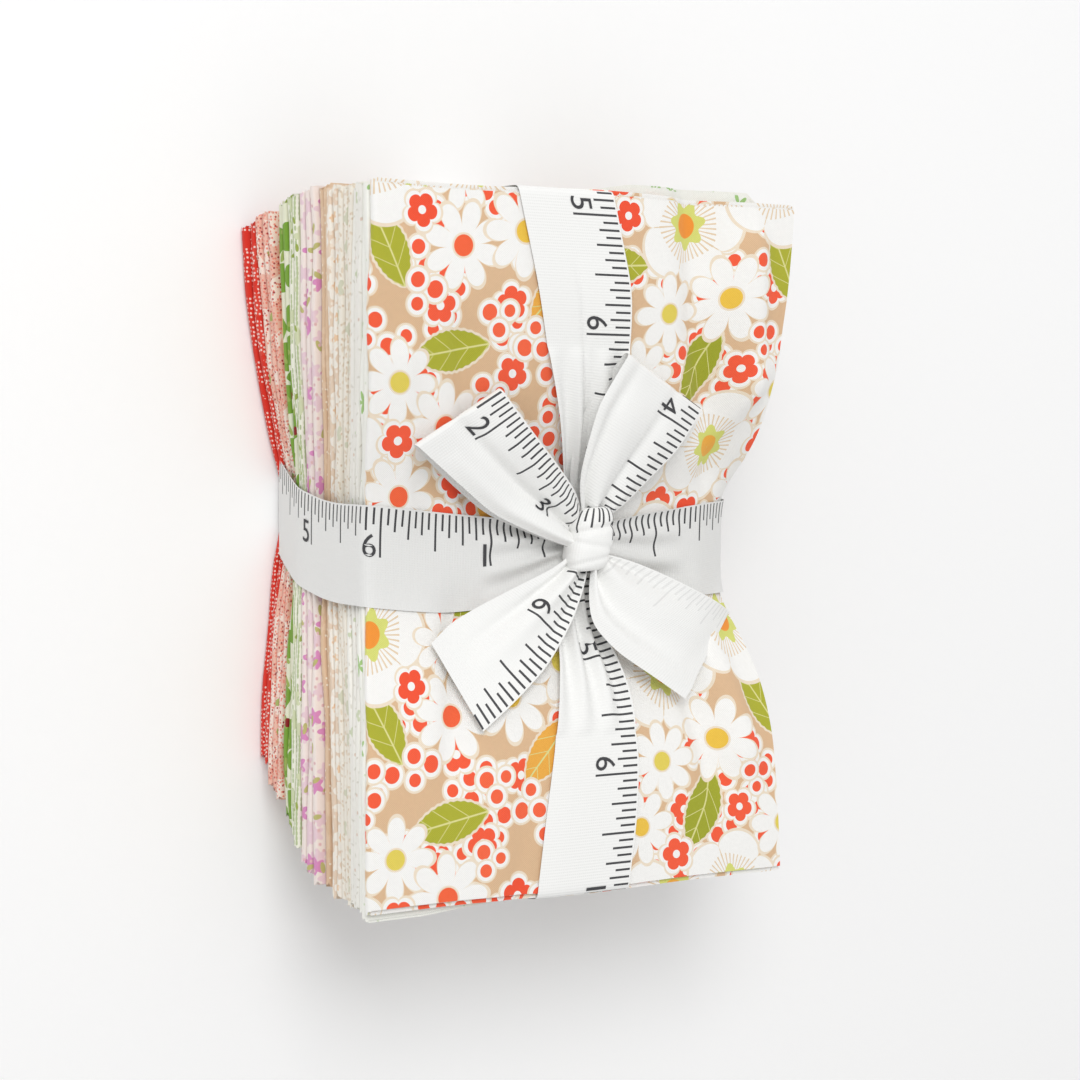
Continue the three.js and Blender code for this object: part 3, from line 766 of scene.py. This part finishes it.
# The lengthwise ribbon over the face, from the foot to the head: how far along, its middle, and
# its width, which the knot gathers.
LENGTHWISE = [
    (-80, 0.0, 22.2), (-75, 0.0, 22.2), (-58, 2.6, 22.2), (-44, 4.6, 20.5), (-31, 5.2, 17.0),
    (-22, 4.2, 12.0), (-13, 4.2, 8.5), (-2, 5.4, 8.0), (9, 5.6, 8.0), (17, 4.4, 10.5),
    (26, 3.2, 14.0), (38, 1.7, 19.0), (53, -1.1, 22.2), (75, -7.6, 22.2), (80, -9.3, 22.2),
]
# The crosswise ribbon over the face, from left to right: how far across, its middle, its width.
CROSSWISE = [
    (-50, -1.8, 21.2), (-43.8, -2.2, 21.2), (-33, -3.4, 21.2), (-24, -4.3, 21.0), (-14, -4.2, 19.0),
    (-6, -2.8, 14.0), (4, -0.6, 8.0), (9, -0.6, 8.0), (15, -1.8, 12.0), (24, -3.0, 18.0),
    (44, -2.4, 21.2), (50, -2.3, 21.2),
]
# The crosswise ribbon's middle where it goes down each side, by its share of the height.
LEFT_COURSE = [
    (0, CROSSWISE_BACK["left"]), (0.2, 3.2), (0.35, 0.65), (0.5, -0.7), (0.6, -1.65), (0.75, -2.2),
    (1, -2.2),
]
RIGHT_COURSE = [(0, CROSSWISE_BACK["right"]), (1, -2.4)]
# The bow's loops and tails from the knot to their ends: the edge that the marks stand on, then
# the plain edge, each with its height over the cloth, then the height of a loop's lower layer.
UPPER_LEFT_LOOP = [
    ((4.8, 5.2, 5.0), (3.0, -1.4, 4.4), 3.6),
    ((2.0, 10.6, 6.2), (-4.4, 0.8, 5.0), 2.4),
    ((-4.0, 16.3, 6.6), (-16.7, 6.1, 5.6), 1.5),
    ((-12.3, 24.2, 5.6), (-26.0, 12.7, 5.6), 1.2),
    ((-18.9, 31.6, 3.6), (-36.3, 20.2, 3.6), 1.4),
]
UPPER_RIGHT_LOOP = [
    ((10.6, 5.0, 5.0), (4.2, 5.4, 5.2), 3.6),
    ((14.3, 7.4, 5.8), (1.5, 12.8, 6.4), 2.4),
    ((18.5, 12.1, 6.2), (1.2, 19.6, 6.8), 1.5),
    ((25.2, 19.7, 5.6), (2.4, 29.6, 6.4), 1.2),
    ((30.4, 28.0, 3.6), (8.8, 39.3, 3.8), 1.4),
]
LOWER_LEFT_TAIL = [
    ((6.4, -3.6, 5.2), (2.2, -2.6, 4.6)),
    ((4.8, -9.4, 5.8), (-2.4, -5.4, 5.2)),
    ((0.9, -17.0, 5.4), (-10.6, -8.8, 5.2)),
    ((-6.3, -25.9, 4.0), (-19.6, -13.2, 4.0)),
    ((-14.7, -32.7, 2.8), (-25.8, -16.6, 2.8)),
    ((-22.6, -38.3, 2.0), (-31.1, -20.4, 2.2)),
]
LOWER_RIGHT_TAIL = [
    ((9.8, -2.6, 5.0), (6.6, -4.2, 5.4)),
    ((14.8, -3.7, 6.2), (4.8, -10.0, 6.6)),
    ((22.8, -6.6, 6.8), (4.4, -17.2, 6.8)),
    ((32.4, -10.8, 6.2), (9.8, -23.4, 6.2)),
    ((40.2, -14.2, 4.8), (18.6, -29.2, 5.4)),
    ((46.3, -16.9, 2.6), (26.5, -34.3, 4.2)),
]
# Creases that run out of the knot: their place across from the plain edge and their spread, as
# shares of the ribbon, how far they stand proud, and the share of its length where they die out.
CREASES = {
    "upper_left": [
        (0.16, 0.12, 2.0, 0.8), (0.47, 0.08, -2.6, 1.05), (0.78, 0.12, 1.1, 0.75),
    ],
    "upper_right": [
        (0.06, 0.07, 1.3, 1.1), (0.18, 0.06, -1.6, 1.0), (0.4, 0.14, 1.6, 0.85),
        (0.66, 0.06, -1.6, 1.05), (0.86, 0.08, 0.8, 0.7),
    ],
    "lower_left": [
        (0.28, 0.07, -1.6, 0.75), (0.52, 0.13, 2.0, 0.8), (0.85, 0.07, -1.2, 0.55),
    ],
    "lower_right": [
        (0.12, 0.1, 2.2, 1.05), (0.31, 0.1, -1.7, 0.75), (0.58, 0.15, 1.8, 0.85),
        (0.86, 0.06, -1.0, 0.6),
    ],
}
# The lengthwise ribbon is folded over itself along one line that runs down to the knot.
TUCK = {"at": 0.45, "width": 0.022, "depth": 0.7, "step": 0.45, "from": 60.0, "full": 46.0}
# The knot's middle, size and heights, how far its head leans to the right, and how much narrower
# it is there than at its foot.
KNOT = {"x": 6.2, "y": 0.7, "width": 9.8, "length": 13.6, "bottom": 45.0, "top": 54.0}
KNOT_SLANT = 0.15
KNOT_TAPER = 0.07
# The grooves across the knot: their place along it, how much they slant, their width and depth.
KNOT_GROOVES = [(0.34, 0.1, 0.1, 0.13), (-0.2, -0.175, 0.09, 0.07), (-0.66, 0.125, 0.08, 0.09)]

# The two bands: the axis that each runs along, its width off the face, its height under the
# stack, how far it stands off the cloths at the foot or left and at the head or right, and how
# many rows it has down each side besides those at the stack's corners.
LENGTHWISE_BAND = {
    "axis": 1, "flat": RIBBON_WIDTH, "under": 0.12, "proud": (0.95, 0.95), "side_rows": 0,
}
CROSSWISE_BAND = {"axis": 0, "flat": FLAT_WIDTH, "under": 0.4, "proud": (1.1, 1.5), "side_rows": 13}
for band, rows, spread in ((LENGTHWISE_BAND, LENGTHWISE, 3.0), (CROSSWISE_BAND, CROSSWISE, 2.5)):
    band["middle"], band["width"] = smooth_columns(rows, spread, spread)
across_share = np.linspace(0, 1, RIBBON_COLUMNS)


def run_along(rows):
    """How far along the ribbon each of its rows lies."""
    steps = np.linalg.norm(np.diff(rows.mean(1), axis=0), axis=1)
    return np.concatenate([[0], np.cumsum(steps)])


def smooth_way(rows, spread=1.0):
    """A ribbon's rows of points, spaced evenly along it and rounded over spread at its bends."""
    rows = np.array(rows)
    run = run_along(rows)
    fine = np.arange(0, run[-1], 0.25)
    columns = rows.reshape(len(rows), -1).T
    smooth = np.stack([rounded(np.interp(fine, run, column), spread, 0.25) for column in columns], 1)
    keep = np.linspace(0, len(smooth) - 1, int(run[-1] / RIBBON_STEP) + 1).round().astype(int)
    return smooth[keep].reshape(len(keep), rows.shape[1], 3)


def facing_of(rows):
    """The way that each point of a ribbon faces: up, at its first row."""
    facing = np.cross(np.gradient(rows, axis=1), np.gradient(rows, axis=0))
    facing /= np.linalg.norm(facing, axis=2)[:, :, None] + 1e-9
    return facing if facing[0, :, 2].mean() > 0 else -facing


def lift_off(rows, relief):
    """Lifts a ribbon's points by a relief, the way that they face."""
    return rows + relief[:, :, None] * facing_of(rows)


def gather(rows, pleats, phase, tallest):
    """Lifts a narrowed ribbon into lengthwise pleats that take up its full width."""
    width = np.linalg.norm(rows[:, -1] - rows[:, 0], axis=1)
    spare = np.sqrt(np.clip((EASY_WIDTH * FLAT_WIDTH) ** 2 - width**2, 0, None)) / (4 * pleats)
    spare = np.minimum(spare, tallest)
    pleat = 1 + np.sin(2 * math.pi * pleats * across_share + phase)
    return lift_off(rows, spare[:, None] * pleat)


def crease(rows, creases):
    """Presses creases into a part of the bow, deepest at the knot, where its rows start."""
    part = np.linspace(0, 1, len(rows))[:, None]
    relief = np.zeros(rows.shape[:2])
    for at, width, height, reach in creases:
        fade = np.clip(1 - part / (reach + 0.08), 0, 1) ** 0.7
        relief += height * fade * np.exp(-(((across_share - at) / width) ** 2))
    return lift_off(rows, relief)


def taut_corners(reaches):
    """The corners of the stack that the taut ribbon touches as it goes down one end or side: how
    far out each lies and its share of the height. The ribbon bridges what lies further in."""
    count = len(reaches)
    corners = [(out, k / count) for index, out in enumerate(reaches) for k in (index, index + 1)]
    taut = []
    for out, share in corners:
        while len(taut) > 1:
            (out1, share1), (out2, share2) = taut[-2:]
            if (share - share1) * (out2 - out1) > (share2 - share1) * (out - out1):
                break
            taut.pop()
        if len(taut) != 1 or share != taut[0][1]:
            taut.append((out, share))
    return taut


def band_row(band, at, middle, width, share, lift=0.0):
    """A row of a band, at a place along its axis and lift above one share of the stack."""
    row = np.empty((RIBBON_COLUMNS, 3))
    row[:, band["axis"]] = at
    row[:, 1 - band["axis"]] = middle + (across_share - 0.5) * width
    row[:, 2] = level(row[:, 0], row[:, 1], share) + lift
    return row


def over_face(band, places):
    """A band's rows over the face."""
    return [band_row(band, at, band["middle"](at), band["width"](at), 1, RIBBON_LIFT) for at in places]


def down_side(band, side, reaches, course):
    """A band's rows from the face down one end or side, with its middle by its share of the
    height. side is 1 at the head or the right, and -1 at the foot or the left."""
    outs, corners = zip(*taut_corners(reaches))
    rows = []
    for share in np.union1d(corners, np.linspace(0, 1, band["side_rows"]))[::-1]:
        middle = np.interp(share, *zip(*course))
        at = side * np.interp(share, corners, outs)
        row = band_row(band, at, middle, band["flat"], share, RIBBON_LIFT * (share == 1))
        row[:, band["axis"]] += side * band["proud"][side > 0]
        row[:, 2] = row[:, 2] if share > 0 else band["under"]
        rows.append(row)
    return rows


def under_stack(band, places, *course):
    """A band's rows under the stack, with its middle by its place."""
    rows = [band_row(band, at, np.interp(at, *course), band["flat"], 0) for at in places]
    for row in rows:
        row[:, 2] = band["under"]
    return rows


def lengthwise_ribbon():
    """The ribbon from the knot over the head, under the stack, and up the foot to the knot."""
    band, back = LENGTHWISE_BAND, LENGTHWISE_BACK
    courses = {
        side: [(0, back[end]), (1, band["middle"](side * HALF_LENGTH))]
        for side, end in ((1, "head"), (-1, "foot"))
    }
    rows = over_face(band, np.arange(2, 70, 2.0))
    rows += down_side(band, 1, [row.head for row in CLOTHS], courses[1])
    rows += under_stack(band, np.linspace(60, -40, 20), [-60, 60], [back["foot"], back["head"]])
    rows += down_side(band, -1, [-row.foot for row in CLOTHS], courses[-1])[::-1]
    return smooth_way(rows + over_face(band, np.arange(-70, -1, 2.0)))


def crosswise_ribbon():
    """The ribbon from the knot down the left side, under the stack, and up the right side to it."""
    band, back = CROSSWISE_BAND, CROSSWISE_BACK
    parts = np.linspace(0, 1, len(CLOTHS))
    lefts = [-row.left * (1 - drawn_in(part)) for row, part in zip(CLOTHS, parts)]
    rights = [row.right * (1 - PINCH_SHARE * right_pinch(0)) for row in CLOTHS]
    rows = over_face(band, np.arange(4, -41, -2.0))
    rows += down_side(band, -1, lefts, LEFT_COURSE)
    rows += under_stack(band, np.linspace(-38, 38, 16), [-43, 43], [back["left"], back["right"]])
    rows += down_side(band, 1, rights, RIGHT_COURSE)[::-1]
    return smooth_way(rows + over_face(band, np.arange(40, 5, -2.0)), spread=1.6)


def bow_layer(table, under=False):
    """A loop's or tail's layer between its two edges, from the knot to its end."""
    edges = []
    for side in (1, 0):
        lifts = [row[2] if under else row[side][2] for row in table]
        spots = [row[side][:2] for row in table]
        edges.append(np.array([(*spot, level(*spot, 1.0) + lift) for spot, lift in zip(spots, lifts)]))
    share = across_share[None, :, None]
    return smooth_way(edges[0][:, None] * (1 - share) + edges[1][:, None] * share, spread=2.2)


def closed_loop(table, creases):
    """A loop's two layers in one, joined by the round fold at its tip."""
    upper = crease(bow_layer(table), creases)
    lower = bow_layer(table, under=True)
    outward = upper[-1] - upper[-4]
    outward /= np.linalg.norm(outward, axis=1)[:, None]
    depth = (upper[-1] - lower[-1])[:, 2:] / 2
    middle = (upper[-1] + lower[-1]) / 2
    fold = []
    for angle in np.linspace(0, math.pi, 9)[1:-1]:
        fold.append(middle + outward * depth * math.sin(angle) + (0, 0, 1) * depth * math.cos(angle))
    return np.concatenate([upper, np.array(fold), lower[::-1]])


def knot_band():
    """The ribbon wound across the knot, gathered into soft ridges."""
    turn = np.linspace(0, 2 * math.pi, 73)[:, None]
    part = np.linspace(-1, 1, RIBBON_COLUMNS)[None, :]
    plump = (1 - np.abs(part) ** 3.0) ** 0.5 * 0.45 + 0.55
    crimp = 1
    for at, slant, width, depth in KNOT_GROOVES:
        crimp = crimp - depth * np.exp(-(((part - at - slant * np.sin(turn)) / width) ** 2))
    half_width = KNOT["width"] / 2 * (1 - KNOT_TAPER * part)
    half_height = (KNOT["top"] - KNOT["bottom"]) / 2
    out = np.sign(np.sin(turn)) * np.abs(np.sin(turn)) ** 0.8 * plump * crimp
    rise = np.sign(np.cos(turn)) * np.abs(np.cos(turn)) ** 0.7 * plump * crimp
    x = KNOT["x"] + half_width * out
    y = KNOT["y"] + KNOT["length"] / 2 * part + 0.06 * (x - KNOT["x"])
    z = (KNOT["top"] + KNOT["bottom"]) / 2 + half_height * rise
    return np.stack([x + KNOT_SLANT * (y - KNOT["y"]), y, z], -1)


def tuck(rows):
    """Presses the lengthwise ribbon's folded line into it, where it lies on the face's head."""
    along = rows.mean(1)[:, 1]
    shown = np.clip((TUCK["from"] - along) / (TUCK["from"] - TUCK["full"]), 0, 1)
    shown = np.where((along > 0) & (rows.mean(1)[:, 2] > WAIST_HEIGHT - 4), shown, 0)
    line = TUCK["depth"] * np.exp(-(((across_share - TUCK["at"]) / TUCK["width"]) ** 2))
    step = TUCK["step"] / (1 + np.exp(-(across_share - TUCK["at"]) / 0.01))
    return lift_off(rows, (step - line) * shown[:, None])


# The print is charcoal ink: a mark for each sixteenth of an inch along one edge, longer on the
# eighths, quarters, halves and inches, with a plain number before each inch. The ribbon's back
# shows it faintly. The whole crosswise ribbon's colour is darkened as painted shade.
MARK_LENGTHS = [10.7, 8.3, 6.5, 5.2, 3.9]
MARK_WIDTH = 0.48
BARE_EDGE = 0.35
NUMBER_HEIGHT = 4.8
NUMBER_LIFT = 0.11
NUMBER_ROOM = 13.0
# Where the ribbon is gathered narrower than this, its marks are squeezed with it.
NECK_WIDTH = 13.0
INK = "#38383B"
REVERSE_INK = 0.13
# Painted shade: the share of its white that the whole crosswise ribbon keeps.
CROSSWISE_PAINTED_SHADE = 0.86
grids, numbers = [], []


def number_outline(number):
    """A number as flat points in millimetres and the faces between them."""
    curve = bpy.data.curves.new("number", "FONT")
    curve.body = str(number)
    curve.resolution_u = 4
    text = bpy.data.objects.new("number", curve)
    mesh = bpy.data.meshes.new_from_object(text)
    points = np.array([tuple(vertex.co) for vertex in mesh.vertices])[:, :2]
    faces = [tuple(face.vertices) for face in mesh.polygons]
    bpy.data.objects.remove(text)
    bpy.data.meshes.remove(mesh)
    return (points - points.min(0)) * NUMBER_HEIGHT / np.ptp(points[:, 1]), faces


def print_strip(rows, start, way, first_number=0, printed=None, ink=1.0, painted_shade=1.0):
    """Adds a strip to the ribbon, with its print, which is measured along the cloth. start is the
    print's own place at the strip's first row, and way is 1 where it reads on from there and -1
    where it reads back. printed are the inches that show their number, or None for all."""
    place = start + way * run_along(rows)
    steps = np.linalg.norm(np.diff(rows, axis=1), axis=2)
    from_marks = np.pad(np.cumsum(steps[:, ::-1], axis=1)[:, ::-1], ((0, 0), (0, 1)))
    from_marks *= np.maximum(1, NECK_WIDTH / from_marks[:, :1])
    grids.append((rows, np.stack(np.broadcast_arrays(place[:, None], from_marks), -1), ink, painted_shade))
    lifted = lift_off(rows, np.full(rows.shape[:2], NUMBER_LIFT))
    order = np.argsort(place)
    for inch in range(math.ceil(place.min() / INCH), math.floor(place.max() / INCH) + 1):
        points, faces = outlines[(inch + first_number) % 6]
        along = inch * INCH - 1.0 - np.ptp(points[:, 0]) + points[:, 0]
        row = np.interp(along, place[order], order.astype(float))
        middle = int(row.mean())
        width = np.linalg.norm(rows[middle, -1] - rows[middle, 0])
        wanted = printed is None or inch in printed
        if not wanted or width < NUMBER_ROOM or along.min() < place.min() or along.max() > place.max():
            continue
        out = np.interp(MARK_LENGTHS[0] - points[:, 1], from_marks[middle, ::-1], range(RIBBON_COLUMNS))
        column = RIBBON_COLUMNS - 1 - out
        low_row = np.minimum(row.astype(int), len(rows) - 2)
        low_column = np.minimum(column.astype(int), RIBBON_COLUMNS - 2)
        at_row, at_column = (row - low_row)[:, None], (column - low_column)[:, None]
        near, far = (
            lifted[low_row, side] * (1 - at_row) + lifted[low_row + 1, side] * at_row
            for side in (low_column, low_column + 1)
        )
        numbers.append((near * (1 - at_column) + far * at_column, faces))


outlines = [number_outline(number) for number in range(1, 7)]
print_strip(tuck(gather(lengthwise_ribbon(), 3, 1.2, 1.1)), 44.7, -1, 5)
crosswise = gather(crosswise_ribbon(), 3, 0.4, 0.5)
# The crosswise ribbon is given painted shade: its whole colour is darkened by a fixed share.
print_strip(crosswise, 19.7, -1, 6, printed=range(-7, 1), painted_shade=CROSSWISE_PAINTED_SHADE)
print_strip(closed_loop(UPPER_LEFT_LOOP, CREASES["upper_left"]), 34.5, -1, 1)
print_strip(closed_loop(UPPER_RIGHT_LOOP, CREASES["upper_right"]), 27.4, -1, 3)
print_strip(crease(bow_layer(LOWER_LEFT_TAIL), CREASES["lower_left"]), 8.2, 1, 4, printed=[1])
lower_right = crease(bow_layer(LOWER_RIGHT_TAIL), CREASES["lower_right"])
print_strip(lower_right, 9.0, 1, printed=(), ink=REVERSE_INK)
print_strip(knot_band(), 8.9, 1, printed=())

# The ribbon is woven polyester with fine ribs across it, 0.62 mm apart so that they show, and
# finer threads along it. They give the eye a soft satin white that is brighter along its folds.
RIBBON_WHITE = "#F6F6F4"
RIB_SPACING = 0.62
WARP_SPACING = 0.5
RIB_DEPTH = 0.00004
RIB_BUMP = 0.5
WARP_SHARE = 0.4
RIBBON_ROUGHNESS = 0.62
RIBBON_SHEEN = 0.1
ribbon_cloth, put = new_material("woven white ribbon")
spots = put("SeparateXYZ", put("UVMap", uv_map="print")).outputs
marks = None
for halvings, length in enumerate(MARK_LENGTHS):
    near = put("PINGPONG", spots[0], INCH / 2**halvings / 2)
    near = put("LESS_THAN", near, MARK_WIDTH / 2)
    mark = put("MULTIPLY", near, put("LESS_THAN", spots[1], length))
    marks = mark if marks is None else put("MAXIMUM", marks, mark)
marks = put("MULTIPLY", marks, put("GREATER_THAN", spots[1], BARE_EDGE))
ink = put("MULTIPLY", marks, put("Attribute", attribute_name="ink").outputs["Fac"])
colour = put("MixRGB", ink, RIBBON_WHITE, INK)
# This attribute darkens the crosswise ribbon's colour: painted shade.
painted_shade = put("Attribute", attribute_name="painted_shade").outputs["Fac"]
colour = put("VectorMath MULTIPLY", colour, painted_shade)
ribs = put("SINE", put("MULTIPLY", spots[0], 2 * math.pi / RIB_SPACING))
warp = put("SINE", put("MULTIPLY", spots[1], 2 * math.pi / WARP_SPACING))
height = put("MULTIPLY_ADD", warp, WARP_SHARE, ribs)
bump = put("Bump", at={"Strength": RIB_BUMP, "Distance": RIB_DEPTH, "Height": height})
put("OutputMaterial", put("BsdfPrincipled", colour, at={
    "Roughness": RIBBON_ROUGHNESS, "Sheen Weight": RIBBON_SHEEN, "Normal": bump,
}))

# The numbers are the same ink, screen-printed: it is flat, and gives the eye a matt dark grey.
INK_ROUGHNESS = 0.7
ink_material, put = new_material("charcoal printing ink")
put("OutputMaterial", put("BsdfPrincipled", INK, at={"Roughness": INK_ROUGHNESS}))


def join_numbers(mesh):
    """Joins the printed numbers to the ribbon's mesh, in its second material."""
    start, faces = 0, []
    for spots, own in numbers:
        faces += [[index + start for index in face] for face in own]
        start += len(spots)
    points = np.concatenate([spots for spots, _ in numbers]) * MM + np.array(stack_middle)
    print_mesh = bpy.data.meshes.new("numbers")
    print_mesh.from_pydata(points.tolist(), [], faces)
    print_mesh.polygons.foreach_set("material_index", [1] * len(faces))
    both = bmesh.new()
    both.from_mesh(mesh)
    both.from_mesh(print_mesh)
    both.to_mesh(mesh)
    both.free()
    bpy.data.meshes.remove(print_mesh)


ribbon = set_out("ribbon_tie", join_grids("ribbon_tie", grids))
ribbon.data.materials.append(ribbon_cloth)
ribbon.data.materials.append(ink_material)
join_numbers(ribbon.data)
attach(ribbon, "root")
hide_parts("ribbon")
